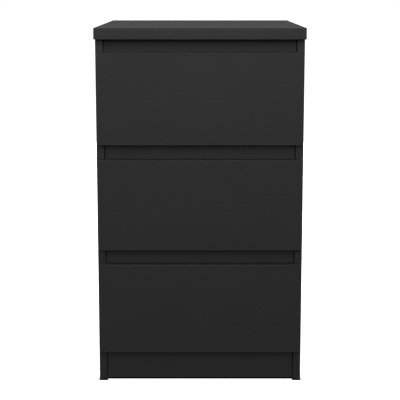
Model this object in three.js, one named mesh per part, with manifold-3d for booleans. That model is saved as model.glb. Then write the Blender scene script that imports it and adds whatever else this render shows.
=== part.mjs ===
// A three-drawer nightstand of foil-covered board: a carcass, three drawers and their roller runners.
// Units are millimetres. +Z is up, the drawers open towards -Y, and +X is on the right, seen from the front.
// The origin is on the floor, under the middle of the nightstand.
import * as THREE from "three";
import { mergeVertices } from "three/addons/utils/BufferGeometryUtils.js";
import Module from "manifold-3d";

const wasm = await Module();
wasm.setup();

// ---- Driving dimensions: the whole nightstand
const WIDTH = 404;
const DEPTH = 500;
const HEIGHT = 701;
const TOP_THICKNESS = 22;
const BOARD = 15; // sides, rails, plinth and drawer fronts
const GLIDE_THICKNESS = 2.5;
const TOP_OVERHANG_SIDE = 1.25;
const TOP_OVERHANG_FRONT = 5; // past the faces of the drawer fronts
const TOP_OVERHANG_BACK = 4; // past the back panel

// ---- Driving dimensions: the drawer fronts and what shows between them
const FRONT_WIDTH = 398;
const FRONT_HEIGHT = 178.5;
const FRONT_PITCH = 207;
const LOWEST_FRONT_Z = 62.5;
const FRONT_TO_SIDE_GAP = 1;
const RAIL_SETBACK = 9.5; // rails and plinth behind the front edges of the sides
const RAIL_LAP_ABOVE = 9.5; // how far a rail rises behind the front above it
const RAIL_LAP_BELOW = 20; // and how far it hangs behind the front below it
const PLINTH_LAP = 10; // how far the plinth rises behind the lowest front
const REAR_RAIL_HEIGHT = 60;
const BACK_THICKNESS = 3;
const BACK_MARGIN = 1.5; // the back panel stops short of the outer faces of the sides
const BACK_BOTTOM_MARGIN = 2;
const BACK_TOP_GAP = 1;

// ---- Driving dimensions: the drawer boxes
const BOX_LIFT = 16; // bottom edge of a box above the bottom edge of its front
const BOX_HEIGHT = 125;
const BOX_LENGTH = 450;
const BOX_BOARD = 12;
const RUNNER_SPACE = 12.5; // between a box and a side of the carcass
const BOTTOM_THICKNESS = 3;
const BOTTOM_LIFT = 10; // underside of the drawer bottom above the bottom edge of the box
const GROOVE_PLAY = 0.25; // above and below the drawer bottom in its grooves
const GROOVE_DEPTH = 6;
const FRONT_GROOVE_DEPTH = 5;
const BOTTOM_END_PLAY = 0.5;

// ---- Driving dimensions: the roller runners
const STEEL = 1;
const CHANNEL_HALF_HEIGHT = 10.1; // inside the channel
const CHANNEL_DEPTH = 10.5;
const AXIS_OVER_BOX_EDGE = 9; // middle of the channel above the bottom edge of the box
const RUNNER_FRONT_GAP = 2; // behind the front edges of the sides
const RUNNER_LENGTH = 450;
const FRONT_ROLLER_RADIUS = 8.5;
const FRONT_ROLLER_DROP = 1; // its centre below the middle of the channel
const REAR_ROLLER_RADIUS = 9.8;
const ROLLER_WIDTH = 8.25;
const ROLLER_BORE = 2.9;
const ROLLER_CHAMFER = 0.6;
const ROLLER_END_PLAY = 0.5; // beside the steel it is riveted to
const AXLE_RADIUS = 2.5;
const RIVET_HEAD_RADIUS = 4;
const RIVET_HEAD = 0.9;
const ROLLER_FROM_END = 12; // centre of a roller from the end of its runner
const TRACK_PLAY = 0.3; // between a roller and the steel that it carries
const TRACK_WIDTH = 8.75;
const TRACK_END_GAP = 2; // between the end of the track and the rear roller
const HOOK_WIDTH = 11; // flange under the drawer side
const DRAWER_TRAVEL = 340;
const STOP_HEIGHT = 2.5;
const STOP_LENGTH = 3;
const STOP_PLAY = 0.4;

// ---- Driving dimensions: the glides under the sides
const GLIDE_LENGTH = 40;
const GLIDE_WIDTH = 12;
const GLIDE_FROM_END = 35; // middle of a glide from the end of its side

const ROUND = 20; // sides of a round solid
const CUT_PAST = 1; // a cutter runs this far past the face that it opens

// ---- Worked out from them
const HALF = WIDTH / 2 - TOP_OVERHANG_SIDE; // outer face of a side
const BAY = HALF - BOARD; // inner face of a side
const TOP_UNDER = HEIGHT - TOP_THICKNESS;
const TOP_FRONT_Y = -DEPTH / 2;
const FACE_Y = TOP_FRONT_Y + TOP_OVERHANG_FRONT;
const FRONT_BACK_Y = FACE_Y + BOARD;
const SIDE_FRONT_Y = FRONT_BACK_Y + FRONT_TO_SIDE_GAP;
const BACK_OUTER_Y = DEPTH / 2 - TOP_OVERHANG_BACK;
const SIDE_BACK_Y = BACK_OUTER_Y - BACK_THICKNESS;
const RAIL_Y = SIDE_FRONT_Y + RAIL_SETBACK;
const BOX_BACK_Y = FRONT_BACK_Y + BOX_LENGTH;
const BOX_HALF = BAY - RUNNER_SPACE;
const RUNNER_Y = SIDE_FRONT_Y + RUNNER_FRONT_GAP;

// ---- Materials
const foil = (color, roughness) => new THREE.MeshStandardMaterial({ color, roughness, metalness: 0 });
const blackFoil = foil(0x2e2e2e, 0.5);
const drawerFoil = foil(0x383838, 0.55);
const hardboard = foil(0x8a6a48, 0.8);
const drawerHardboard = foil(0x3a3a3a, 0.7);
const coatedSteel = new THREE.MeshStandardMaterial({ color: 0xd9d9d4, roughness: 0.4, metalness: 0.1 });
const nylon = new THREE.MeshStandardMaterial({ color: 0xf0efe8, roughness: 0.5, metalness: 0 });
const blackPlastic = new THREE.MeshStandardMaterial({ color: 0x191919, roughness: 0.6, metalness: 0 });

// ---- Solids
function solidOf(geometry) {
  const bare = geometry.clone();
  bare.deleteAttribute("normal");
  bare.deleteAttribute("uv");
  const merged = mergeVertices(bare, 1e-4);
  return new wasm.Manifold(
    new wasm.Mesh({
      numProp: 3,
      vertProperties: merged.attributes.position.array,
      triVerts: new Uint32Array(merged.index.array),
    }),
  );
}

function geometryOf(solid) {
  const mesh = solid.getMesh();
  return new THREE.BufferGeometry()
    .setAttribute("position", new THREE.BufferAttribute(mesh.vertProperties, 3))
    .setIndex(new THREE.BufferAttribute(mesh.triVerts, 1));
}

// A rectangular block between two corners, as a geometry.
function block([x0, y0, z0], [x1, y1, z1]) {
  const box = new THREE.BoxGeometry(x1 - x0, y1 - y0, z1 - z0);
  return box.translate((x0 + x1) / 2, (y0 + y1) / 2, (z0 + z1) / 2);
}

function cut(geometry, ...cutters) {
  return geometryOf(cutters.reduce((left, cutter) => left.subtract(solidOf(cutter)), solidOf(geometry)));
}

function join(...geometries) {
  const solids = geometries.map(solidOf);
  return geometryOf(solids.slice(1).reduce((whole, next) => whole.add(next), solids[0]));
}

// A turned shape about the X axis: each point of the profile is [radius, x].
function turned(profile) {
  const points = profile.map(([radius, x]) => new THREE.Vector2(radius, x));
  return new THREE.LatheGeometry(points, ROUND).rotateZ(-Math.PI / 2);
}

function piece(name, geometry, material) {
  const mesh = new THREE.Mesh(geometry, material);
  mesh.name = name;
  return mesh;
}

// ---- The carcass
function topPanel() {
  const low = [-WIDTH / 2, TOP_FRONT_Y, TOP_UNDER];
  return piece("top_panel", block(low, [WIDTH / 2, DEPTH / 2, HEIGHT]), blackFoil);
}

function sidePanel(hand, sign) {
  const outer = sign * HALF;
  const inner = sign * BAY;
  const low = [Math.min(outer, inner), SIDE_FRONT_Y, GLIDE_THICKNESS];
  const high = [Math.max(outer, inner), SIDE_BACK_Y, TOP_UNDER];
  return piece(`${hand}_side_panel`, block(low, high), blackFoil);
}

function backPanel() {
  const half = HALF - BACK_MARGIN;
  const low = [-half, SIDE_BACK_Y, GLIDE_THICKNESS + BACK_BOTTOM_MARGIN];
  return piece("back_panel", block(low, [half, BACK_OUTER_Y, TOP_UNDER - BACK_TOP_GAP]), hardboard);
}

// A board that spans the carcass from side to side.
function crossBoard(name, frontY, lowZ, highZ) {
  return piece(name, block([-BAY, frontY, lowZ], [BAY, frontY + BOARD, highZ]), blackFoil);
}

function crossBoards() {
  const frontTop = (level) => LOWEST_FRONT_Z + level * FRONT_PITCH + FRONT_HEIGHT;
  const frontBottom = (level) => LOWEST_FRONT_Z + level * FRONT_PITCH;
  const rearY = SIDE_BACK_Y - BOARD;
  return [
    crossBoard("plinth_board", RAIL_Y, GLIDE_THICKNESS, frontBottom(0) + PLINTH_LAP),
    crossBoard("lower_front_rail", RAIL_Y, frontTop(0) - RAIL_LAP_BELOW, frontBottom(1) + RAIL_LAP_ABOVE),
    crossBoard("upper_front_rail", RAIL_Y, frontTop(1) - RAIL_LAP_BELOW, frontBottom(2) + RAIL_LAP_ABOVE),
    crossBoard("top_front_rail", RAIL_Y, frontTop(2) - RAIL_LAP_BELOW, TOP_UNDER),
    crossBoard("rear_bottom_rail", rearY, GLIDE_THICKNESS, GLIDE_THICKNESS + REAR_RAIL_HEIGHT),
    crossBoard("rear_top_rail", rearY, TOP_UNDER - REAR_RAIL_HEIGHT, TOP_UNDER),
  ];
}

function glide(name, x, y) {
  const straight = (GLIDE_LENGTH - GLIDE_WIDTH) / 2;
  const outline = new THREE.Shape()
    .absarc(0, straight, GLIDE_WIDTH / 2, 0, Math.PI)
    .absarc(0, -straight, GLIDE_WIDTH / 2, Math.PI, 2 * Math.PI);
  const geometry = new THREE.ExtrudeGeometry(outline, {
    depth: GLIDE_THICKNESS,
    bevelEnabled: false,
    curveSegments: ROUND / 2,
  });
  const mesh = piece(name, geometry, blackPlastic);
  mesh.position.set(x, y, 0);
  return mesh;
}

function glides(hand, sign) {
  const x = (sign * (HALF + BAY)) / 2;
  return [
    glide(`front_${hand}_glide`, x, SIDE_FRONT_Y + GLIDE_FROM_END),
    glide(`rear_${hand}_glide`, x, SIDE_BACK_Y - GLIDE_FROM_END),
  ];
}

// ---- The roller runners. Each is drawn for the right-hand side, with x measured from the inner face of
// the carcass side (x = 0, the drawer lying at negative x) and z from the middle of the channel.
const WEB_X = -STEEL; // drawer-side face of the channel's web
const PLATE_X = -RUNNER_SPACE; // face of the drawer side that the drawer runner lies on
const REAR_ROLLER_Y = BOX_BACK_Y - ROLLER_FROM_END;
const FRONT_ROLLER_Y = RUNNER_Y + ROLLER_FROM_END;

// An axle with a rivet head, pointing along +X from x = 0; the roller turns on it.
function axle() {
  const shank = ROLLER_WIDTH + 2 * ROLLER_END_PLAY;
  return turned([
    [0, -STEEL / 2],
    [AXLE_RADIUS, -STEEL / 2],
    [AXLE_RADIUS, shank],
    [RIVET_HEAD_RADIUS, shank],
    [RIVET_HEAD_RADIUS, shank + RIVET_HEAD / 2],
    [RIVET_HEAD_RADIUS - RIVET_HEAD / 2, shank + RIVET_HEAD],
    [0, shank + RIVET_HEAD],
  ]);
}

// A nylon roller with a bore and chamfered rims, centred on the origin and turning about X.
function roller(radius) {
  const half = ROLLER_WIDTH / 2;
  const rim = radius - ROLLER_CHAMFER;
  return turned([
    [ROLLER_BORE, -half],
    [rim, -half],
    [radius, ROLLER_CHAMFER - half],
    [radius, half - ROLLER_CHAMFER],
    [rim, half],
    [ROLLER_BORE, half],
    [ROLLER_BORE, -half],
  ]);
}

// The channel on the carcass side: a C-section open towards the drawer, with the front axle and a stop
// that the drawer's roller comes up against.
function cabinetRunner() {
  const outer = CHANNEL_HALF_HEIGHT + STEEL;
  const whole = block([-CHANNEL_DEPTH, RUNNER_Y, -outer], [0, RUNNER_Y + RUNNER_LENGTH, outer]);
  const hollow = block(
    [-CHANNEL_DEPTH - CUT_PAST, RUNNER_Y - CUT_PAST, -CHANNEL_HALF_HEIGHT],
    [WEB_X, RUNNER_Y + RUNNER_LENGTH + CUT_PAST, CHANNEL_HALF_HEIGHT],
  );
  const reach = Math.sqrt(REAR_ROLLER_RADIUS ** 2 - (REAR_ROLLER_RADIUS - STOP_HEIGHT) ** 2);
  const stopY = REAR_ROLLER_Y - DRAWER_TRAVEL - reach - STOP_PLAY;
  const stop = block(
    [-CHANNEL_DEPTH, stopY - STOP_LENGTH, -CHANNEL_HALF_HEIGHT - STEEL / 2],
    [WEB_X, stopY, STOP_HEIGHT - CHANNEL_HALF_HEIGHT],
  );
  const pin = axle().rotateZ(Math.PI).translate(WEB_X, FRONT_ROLLER_Y, -FRONT_ROLLER_DROP);
  return join(cut(whole, hollow), stop, pin);
}

// The section on the drawer: a hook under the drawer side, a plate up its outer face, and a track that
// runs on the front roller. The rear axle is riveted to the plate where the track stops.
function drawerRunner() {
  const endY = FRONT_BACK_Y + FRONT_TO_SIDE_GAP + RUNNER_LENGTH - ROLLER_END_PLAY;
  const startY = FRONT_BACK_Y + ROLLER_END_PLAY;
  const hookTop = -AXIS_OVER_BOX_EDGE;
  const trackZ = FRONT_ROLLER_RADIUS - FRONT_ROLLER_DROP + TRACK_PLAY;
  const trackEndY = REAR_ROLLER_Y - REAR_ROLLER_RADIUS - TRACK_END_GAP;
  const plateX = PLATE_X + STEEL;
  const plate = block([PLATE_X, startY, hookTop - STEEL], [plateX, endY, trackZ + STEEL]);
  const hook = block([PLATE_X - HOOK_WIDTH, startY, hookTop - STEEL], [plateX, endY, hookTop]);
  const track = block([PLATE_X, startY, trackZ], [plateX + TRACK_WIDTH, trackEndY, trackZ + STEEL]);
  const pin = axle().translate(plateX, REAR_ROLLER_Y, 0);
  return join(plate, hook, track, pin);
}

// The same runner for either hand: the left one is the mirror image of the right one.
function handed(geometry, sign) {
  if (sign > 0) return geometry;
  const mirrored = geometry.clone().applyMatrix4(new THREE.Matrix4().makeScale(-1, 1, 1));
  const index = mirrored.index.array;
  for (let i = 0; i < index.length; i += 3) {
    [index[i], index[i + 1]] = [index[i + 1], index[i]];
  }
  return mirrored;
}

// ---- A drawer box and its front, with z measured from the bottom edge of the front
const GROOVE_Z = BOX_LIFT + BOTTOM_LIFT - GROOVE_PLAY;
const GROOVE_TOP_Z = BOX_LIFT + BOTTOM_LIFT + BOTTOM_THICKNESS + GROOVE_PLAY;

function drawerFront(level) {
  const whole = block([-FRONT_WIDTH / 2, FACE_Y, 0], [FRONT_WIDTH / 2, FRONT_BACK_Y, FRONT_HEIGHT]);
  const half = BOX_HALF - BOX_BOARD + GROOVE_DEPTH;
  const groove = block(
    [-half, FRONT_BACK_Y - FRONT_GROOVE_DEPTH, GROOVE_Z],
    [half, FRONT_BACK_Y + CUT_PAST, GROOVE_TOP_Z],
  );
  return piece(`${level}_drawer_front`, cut(whole, groove), blackFoil);
}

function drawerSide(level, hand, sign) {
  const inner = BOX_HALF - BOX_BOARD;
  const whole = block([inner, FRONT_BACK_Y, BOX_LIFT], [BOX_HALF, BOX_BACK_Y, BOX_LIFT + BOX_HEIGHT]);
  const groove = block(
    [inner - CUT_PAST, FRONT_BACK_Y - CUT_PAST, GROOVE_Z],
    [inner + GROOVE_DEPTH, BOX_BACK_Y + CUT_PAST, GROOVE_TOP_Z],
  );
  return piece(`${level}_drawer_${hand}_side`, handed(cut(whole, groove), sign), drawerFoil);
}

function drawerBack(level) {
  const half = BOX_HALF - BOX_BOARD;
  const low = [-half, BOX_BACK_Y - BOX_BOARD, GROOVE_TOP_Z];
  return piece(`${level}_drawer_back`, block(low, [half, BOX_BACK_Y, BOX_LIFT + BOX_HEIGHT]), drawerFoil);
}

function drawerBottom(level) {
  const half = BOX_HALF - BOX_BOARD + GROOVE_DEPTH - BOTTOM_END_PLAY;
  const low = [-half, FRONT_BACK_Y - FRONT_GROOVE_DEPTH + BOTTOM_END_PLAY, BOX_LIFT + BOTTOM_LIFT];
  const high = [half, BOX_BACK_Y, BOX_LIFT + BOTTOM_LIFT + BOTTOM_THICKNESS];
  return piece(`${level}_drawer_bottom`, block(low, high), drawerHardboard);
}

// ---- The assembly
const SIDES = [
  ["left", -1],
  ["right", 1],
];
const LEVELS = ["lower", "middle", "upper"];

// The runners and rollers on one side of one drawer, with z measured from the bottom edge of its front.
function runnerSet(level, hand, sign) {
  const axisZ = BOX_LIFT + AXIS_OVER_BOX_EDGE;
  const rollerMiddle = ROLLER_END_PLAY + ROLLER_WIDTH / 2;
  const onCabinet = piece(`${level}_${hand}_cabinet_runner`, handed(cabinetRunner(), sign), coatedSteel);
  const onDrawer = piece(`${level}_${hand}_drawer_runner`, handed(drawerRunner(), sign), coatedSteel);
  for (const runner of [onCabinet, onDrawer]) {
    runner.position.set(sign * BAY, 0, axisZ);
  }
  const frontRoller = piece(`${level}_${hand}_front_roller`, roller(FRONT_ROLLER_RADIUS), nylon);
  const frontX = sign * (BAY + WEB_X - rollerMiddle);
  frontRoller.position.set(frontX, FRONT_ROLLER_Y, axisZ - FRONT_ROLLER_DROP);
  const rearRoller = piece(`${level}_${hand}_rear_roller`, roller(REAR_ROLLER_RADIUS), nylon);
  const rearX = sign * (BAY + PLATE_X + STEEL + rollerMiddle);
  rearRoller.position.set(rearX, REAR_ROLLER_Y, axisZ);
  return [onCabinet, onDrawer, frontRoller, rearRoller];
}

function drawer(level, number) {
  const group = new THREE.Group();
  group.add(drawerFront(level), drawerBack(level), drawerBottom(level));
  for (const [hand, sign] of SIDES) {
    group.add(drawerSide(level, hand, sign), ...runnerSet(level, hand, sign));
  }
  group.position.z = LOWEST_FRONT_Z + number * FRONT_PITCH;
  return group;
}

const nightstand = new THREE.Group();
nightstand.add(topPanel(), backPanel(), ...crossBoards());
for (const [hand, sign] of SIDES) {
  nightstand.add(sidePanel(hand, sign), ...glides(hand, sign));
}
LEVELS.forEach((level, number) => nightstand.add(drawer(level, number)));

export default nightstand;
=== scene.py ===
# %% [markdown]
# # A nightstand with three drawers
#
# The nightstand is flat-pack furniture: boards of particleboard covered with matt black foil, three drawers
# that run on steel and nylon rollers, and a thin fibreboard back. The frame holds every board and every
# moving part at its real size. These cells give each part its surface, its rounded arrises, its joints and
# its small hardware. Lengths are in metres, +Z is up and the drawers open towards -Y.

# %% Load the frame
import math

import bmesh
import bpy
from mathutils import Euler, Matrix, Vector


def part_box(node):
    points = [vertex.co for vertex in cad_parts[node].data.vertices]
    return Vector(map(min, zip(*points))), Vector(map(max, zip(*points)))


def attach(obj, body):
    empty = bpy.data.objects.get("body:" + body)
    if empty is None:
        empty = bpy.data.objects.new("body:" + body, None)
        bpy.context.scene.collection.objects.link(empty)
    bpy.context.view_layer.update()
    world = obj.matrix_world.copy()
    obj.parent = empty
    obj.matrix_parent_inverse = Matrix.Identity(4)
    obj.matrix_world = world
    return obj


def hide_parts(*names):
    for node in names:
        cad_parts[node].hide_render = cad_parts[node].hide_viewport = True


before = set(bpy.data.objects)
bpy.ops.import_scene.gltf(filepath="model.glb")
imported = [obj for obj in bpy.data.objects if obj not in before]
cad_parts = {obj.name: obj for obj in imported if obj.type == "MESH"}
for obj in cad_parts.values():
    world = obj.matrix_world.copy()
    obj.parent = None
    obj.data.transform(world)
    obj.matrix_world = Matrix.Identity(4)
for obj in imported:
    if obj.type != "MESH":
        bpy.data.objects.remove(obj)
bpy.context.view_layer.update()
MM = 0.001
LEVELS = ("lower", "middle", "upper")
HANDS = {"left": -1, "right": 1}

# %% [markdown]
# ## The camera
#
# The view is the one a catalogue uses: straight at the drawers, from a little above the top, so that the
# top shows as a thin bright strip. A shifted lens on a level camera would keep the sides parallel, but a
# large shift throws the nightstand out of every other view. So most of the drop is done by tilting, and
# only a small shift is kept.

# %% Place the camera
SENSOR = 36.0  # mm
LENS = 104.1  # mm
CAMERA_DISTANCE = 2.2  # from the front edge of the top panel
CAMERA_HEIGHT = 0.779
CAMERA_TILT = 9.52  # degrees below the horizon
LENS_SHIFT = -0.05  # of the width of the view

camera = bpy.data.objects.new("camera", bpy.data.cameras.new("camera"))
bpy.context.scene.collection.objects.link(camera)
camera.data.sensor_width = SENSOR
camera.data.lens = LENS
camera.data.shift_y = LENS_SHIFT
camera.location = (0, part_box("top_panel")[0].y - CAMERA_DISTANCE, CAMERA_HEIGHT)
camera.rotation_euler = (math.radians(90 - CAMERA_TILT), 0, 0)
bpy.context.scene.camera = camera
print("camera: lens", camera.data.lens, "mm at", tuple(round(c, 3) for c in camera.location))

# %% [markdown]
# ## Adding nodes, and colours
#
# A material is a small network of nodes. A function for each kind of node would be long to learn, so one
# function adds any node: its own settings first, then each input, either as a value or as a link from
# another node. Paint shops and screens give colours in sRGB, but a renderer works in linear light, so one
# more function turns a hex value into linear numbers.

# %% Helpers for materials
def to_linear(hex_value):
    """An sRGB colour such as 0x262626, as linear red, green, blue and alpha."""
    channels = [(hex_value >> shift & 255) / 255 for shift in (16, 8, 0)]
    linear = [c / 12.92 if c <= 0.04045 else ((c + 0.055) / 1.055) ** 2.4 for c in channels]
    return (*linear, 1.0)


def add_node(tree, kind, settings=None, inputs=None):
    """Adds a node. An input is a value, or a pair of a node and the name of its output."""
    node = tree.nodes.new(kind)
    for name, value in (settings or {}).items():
        setattr(node, name, value)
    for name, value in (inputs or {}).items():
        if isinstance(value, tuple) and isinstance(value[0], bpy.types.Node):
            tree.links.new(value[0].outputs[value[1]], node.inputs[name])
        else:
            node.inputs[name].default_value = value
    return node


def new_material(name):
    """A new material, its node tree, and its shader, already joined to the output."""
    material = bpy.data.materials.new(name)
    material.use_nodes = True
    tree = material.node_tree
    tree.nodes.clear()
    shader = add_node(tree, "ShaderNodeBsdfPrincipled")
    add_node(tree, "ShaderNodeOutputMaterial", inputs={"Surface": (shader, "BSDF")})
    return material, tree, shader


print("white is", to_linear(0xFFFFFF))

# %% [markdown]
# ## The studio floor
#
# The floor is a pale sheet that runs out of sight. A white sheet lit by lamps would show where each lamp
# ends, and throw light back up at the drawer fronts. So this one gives off an even light of its own, and is
# hidden from the rays that would carry it to the furniture. Its colour and its light are painted black, as a
# painted contact shadow, between the plinth and the rear rail and right under the sides, where no light
# would get in. That painted line of contact sets the nightstand on the floor.

# %% Where the floor gets a painted shadow
# The painted contact shadow fades into the floor's full white over this distance.
PAINTED_CONTACT_SHADOW = 4 * MM  # the floor gets its light back over this distance

floor_material, tree, shader = new_material("studio_floor")
shader.inputs["Roughness"].default_value = 0.9
shader.inputs["Specular IOR Level"].default_value = 0.0
shader.inputs["Emission Color"].default_value = to_linear(0xFFFFFF)
place = add_node(tree, "ShaderNodeTexCoord")
mirrored_point = add_node(tree, "ShaderNodeVectorMath", {"operation": "ABSOLUTE"}, {0: (place, "Object")})


def outside(middle, half_size):
    """How far a point of the floor is outside a rectangle and the mirror image of it."""
    from_middle = {0: (mirrored_point, "Vector"), 1: middle}
    offset = add_node(tree, "ShaderNodeVectorMath", {"operation": "SUBTRACT"}, from_middle)
    away = add_node(tree, "ShaderNodeVectorMath", {"operation": "ABSOLUTE"}, {0: (offset, "Vector")})
    from_edge = {0: (away, "Vector"), 1: half_size}
    past = add_node(tree, "ShaderNodeVectorMath", {"operation": "SUBTRACT"}, from_edge)
    split = add_node(tree, "ShaderNodeSeparateXYZ", inputs={"Vector": (past, "Vector")})
    return add_node(tree, "ShaderNodeMath", {"operation": "MAXIMUM"}, {0: (split, "X"), 1: (split, "Y")})


side_low, side_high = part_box("right_side_panel")
plinth_low, plinth_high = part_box("plinth_board")
side_middle = ((side_low.x + side_high.x) / 2, 0, 0)
under_side = outside(side_middle, (side_high.x - side_middle[0], -side_low.y, 0))
behind_plinth = outside((0, 0, 0), (plinth_high.x, -plinth_low.y, 0))
nearest = {0: (under_side, "Value"), 1: (behind_plinth, "Value")}
distance = add_node(tree, "ShaderNodeMath", {"operation": "MINIMUM"}, nearest)
limits = {"Value": (distance, "Value"), "From Min": 0.0, "From Max": PAINTED_CONTACT_SHADOW}
# Under the boards this paints the floor's colour and glow black, a painted contact shadow; elsewhere the
# floor glows white.
glow_with_painted_shadow = add_node(tree, "ShaderNodeMapRange", inputs=limits)
for name in ("Base Color", "Emission Strength"):
    tree.links.new(glow_with_painted_shadow.outputs["Result"], shader.inputs[name])
print("the floor is dark from y =", round(plinth_low.y, 4), "on")

# %% Lay the floor
FLOOR_SIZE = 60.0

bpy.ops.object.select_all(action="DESELECT")
bpy.ops.mesh.primitive_plane_add(size=FLOOR_SIZE)
floor = bpy.context.object
floor.name = "studio_floor"
floor.data.materials.append(floor_material)
floor.visible_diffuse = False
floor.visible_glossy = False
print("floor:", tuple(floor.dimensions))

# %% [markdown]
# ## The air
#
# The air behind the floor is as pale as the floor, so that no horizon shows. Plain white air would light
# the black foil from below as much as from above. So only the camera sees white, and the furniture is lit
# by a dim dome that brightens upwards, which is why the drawer fronts darken gently towards the floor.

# %% Pale air and a dim dome
DOME_START, DOME_END = -0.5, 0.6  # the dome brightens between these heights on a sphere of radius 1
DOME_DIM, DOME_BRIGHT = 0.11, 0.28
WHITE = (1, 1, 1, 1)

air = bpy.data.worlds.new("studio_air")
bpy.context.scene.world = air
air.use_nodes = True
tree = air.node_tree
tree.nodes.clear()
path = add_node(tree, "ShaderNodeLightPath")
place = add_node(tree, "ShaderNodeTexCoord")
split = add_node(tree, "ShaderNodeSeparateXYZ", inputs={"Vector": (place, "Generated")})
limits = {"Value": (split, "Z"), "From Min": DOME_START, "From Max": DOME_END}
limits |= {"To Min": DOME_DIM, "To Max": DOME_BRIGHT}
dome = add_node(tree, "ShaderNodeMapRange", {"interpolation_type": "SMOOTHSTEP"}, limits)
lit = add_node(tree, "ShaderNodeBackground", inputs={"Color": WHITE, "Strength": (dome, "Result")})
seen = add_node(tree, "ShaderNodeBackground", inputs={"Color": WHITE, "Strength": 1.0})
mixed = add_node(tree, "ShaderNodeMixShader", inputs={"Fac": (path, "Is Camera Ray")})
tree.links.new(lit.outputs[0], mixed.inputs[1])
tree.links.new(seen.outputs[0], mixed.inputs[2])
add_node(tree, "ShaderNodeOutputWorld", inputs={"Surface": (mixed, "Shader")})
print("dome:", DOME_DIM, "to", DOME_BRIGHT)

# %% [markdown]
# ## Soft boxes
#
# Black furniture shows little more than what it reflects, so a studio lights it with large, even soft
# boxes. One hangs overhead and makes the top the palest face. One stands far in front and so high that the
# drawer fronts don't mirror it. Smaller ones at the sides and low behind light the other faces. Sun or spot
# lamps would leave hard edges in the gloss, so these are square area lamps.

# %% Place the soft boxes
SOFT_BOXES = {  # where it is, the point it faces, its size and its power in watts
    "overhead_box": ((0, 0.2, 2.9), (0, 0, 0.4), 2.2, 32),
    "front_box": ((0, -5.0, 2.7), (0, 0, 0.5), 3.4, 156),
    "side_box_right": ((3.0, 0.7, 1.5), (0, 0, 0.35), 1.4, 36),
    "side_box_left": ((-3.0, 0.7, 1.5), (0, 0, 0.35), 1.4, 36),
    "back_box": ((0, 3.4, 0.35), (0, 0, 0.35), 0.68, 36),
}

for name, (place, aim, size, power) in SOFT_BOXES.items():
    lamp = bpy.data.objects.new(name, bpy.data.lights.new(name, "AREA"))
    bpy.context.scene.collection.objects.link(lamp)
    lamp.data.shape = "SQUARE"
    lamp.data.size = size
    lamp.data.energy = power
    lamp.location = place
    lamp.rotation_euler = (Vector(aim) - Vector(place)).to_track_quat("-Z", "Y").to_euler()
bpy.context.scene.view_settings.view_transform = "Standard"
print("soft boxes:", len(SOFT_BOXES))

# %% [markdown]
# ## Patterns
#
# Every finish below is a plain shader with two or three patterns on it: one that shifts the colour, one
# that shifts the roughness and one that raises a little relief. An image could do this too, but a pattern
# has no seam and no end. It reads the point on the piece in metres, so a size in millimetres goes straight
# in.

# %% Pattern helpers
def surface_place(tree):
    """The point on the piece in metres."""
    return (add_node(tree, "ShaderNodeTexCoord"), "Object")


def noise(tree, place, size, detail=2.0):
    """A noise whose features are about `size` metres across."""
    inputs = {"Vector": place, "Scale": 1 / size, "Detail": detail}
    return (add_node(tree, "ShaderNodeTexNoise", inputs=inputs), "Fac")


def ranged(tree, source, low, high, start=0.3, end=0.7):
    """Turns a pattern into a number between low and high. A noise mostly stays between 0.3 and 0.7."""
    limits = {"Value": source, "From Min": start, "From Max": end, "To Min": low, "To Max": high}
    return (add_node(tree, "ShaderNodeMapRange", inputs=limits), "Result")


def coloured(tree, source, low, high):
    """Turns a number from 0 to 1 into a colour between two others, each a hex value or a pattern."""
    first, second = (to_linear(c) if isinstance(c, int) else c for c in (low, high))
    inputs = {0: source, 6: first, 7: second}  # the sockets of a mix between colours
    return (add_node(tree, "ShaderNodeMix", {"data_type": "RGBA"}, inputs), 2)


def relief(tree, shader, height, distance):
    """Raises a pattern by up to `distance` metres."""
    inputs = {"Height": height, "Distance": distance, "Strength": 1.0}
    made = add_node(tree, "ShaderNodeBump", inputs=inputs)
    tree.links.new(made.outputs["Normal"], shader.inputs["Normal"])


def feed(tree, shader, **sources):
    """Links patterns to a shader's inputs: Base_Color=..., Roughness=..."""
    for name, (node, output) in sources.items():
        tree.links.new(node.outputs[output], shader.inputs[name.replace("_", " ")])


print("pattern helpers ready")

# %% [markdown]
# ## Matt black foil
#
# The faces of the boards are pressed with a thin decor foil: black paper in melamine resin, cured against a
# steel plate etched with a fine pearl. The resin gives an IOR of about 1.5, and the pearl makes it matt. A
# real pearl is about 0.3 mm across, too fine to show, so it is drawn at 1.2 mm and very shallow. The slow
# cloud through the roughness is what wiping leaves. The foil round the drawer boxes is a little paler and
# smoother.

# %% Foil on the boards
MELAMINE_IOR = 1.5
PEARL, PEARL_HEIGHT = 1.2 * MM, 0.006 * MM
SHADE_DRIFT = 70 * MM
WIPE_MARKS = 45 * MM
GLOSS_DRIFT = 0.02  # of roughness, either way


def pressed_foil(name, dark, light, roughness, specular):
    """Melamine foil: a colour that hardly drifts, a pearl, and a roughness that drifts."""
    material, tree, shader = new_material(name)
    place = surface_place(tree)
    cloud = ranged(tree, noise(tree, place, SHADE_DRIFT, 3), 0, 1)
    pearl = noise(tree, place, PEARL, 1)
    wiped = noise(tree, place, WIPE_MARKS, 4)
    feed(tree, shader, Base_Color=coloured(tree, cloud, dark, light))
    feed(tree, shader, Roughness=ranged(tree, wiped, roughness - GLOSS_DRIFT, roughness + GLOSS_DRIFT))
    relief(tree, shader, pearl, PEARL_HEIGHT)
    shader.inputs["IOR"].default_value = MELAMINE_IOR
    shader.inputs["Specular IOR Level"].default_value = specular
    return material


matt_foil = pressed_foil("matt_black_melamine_foil", 0x252525, 0x272727, 0.52, 0.3)
drawer_foil = pressed_foil("black_wrap_foil", 0x2A2A2A, 0x2D2D2D, 0.44, 0.4)
print("foils:", matt_foil.name, drawer_foil.name)

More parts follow.
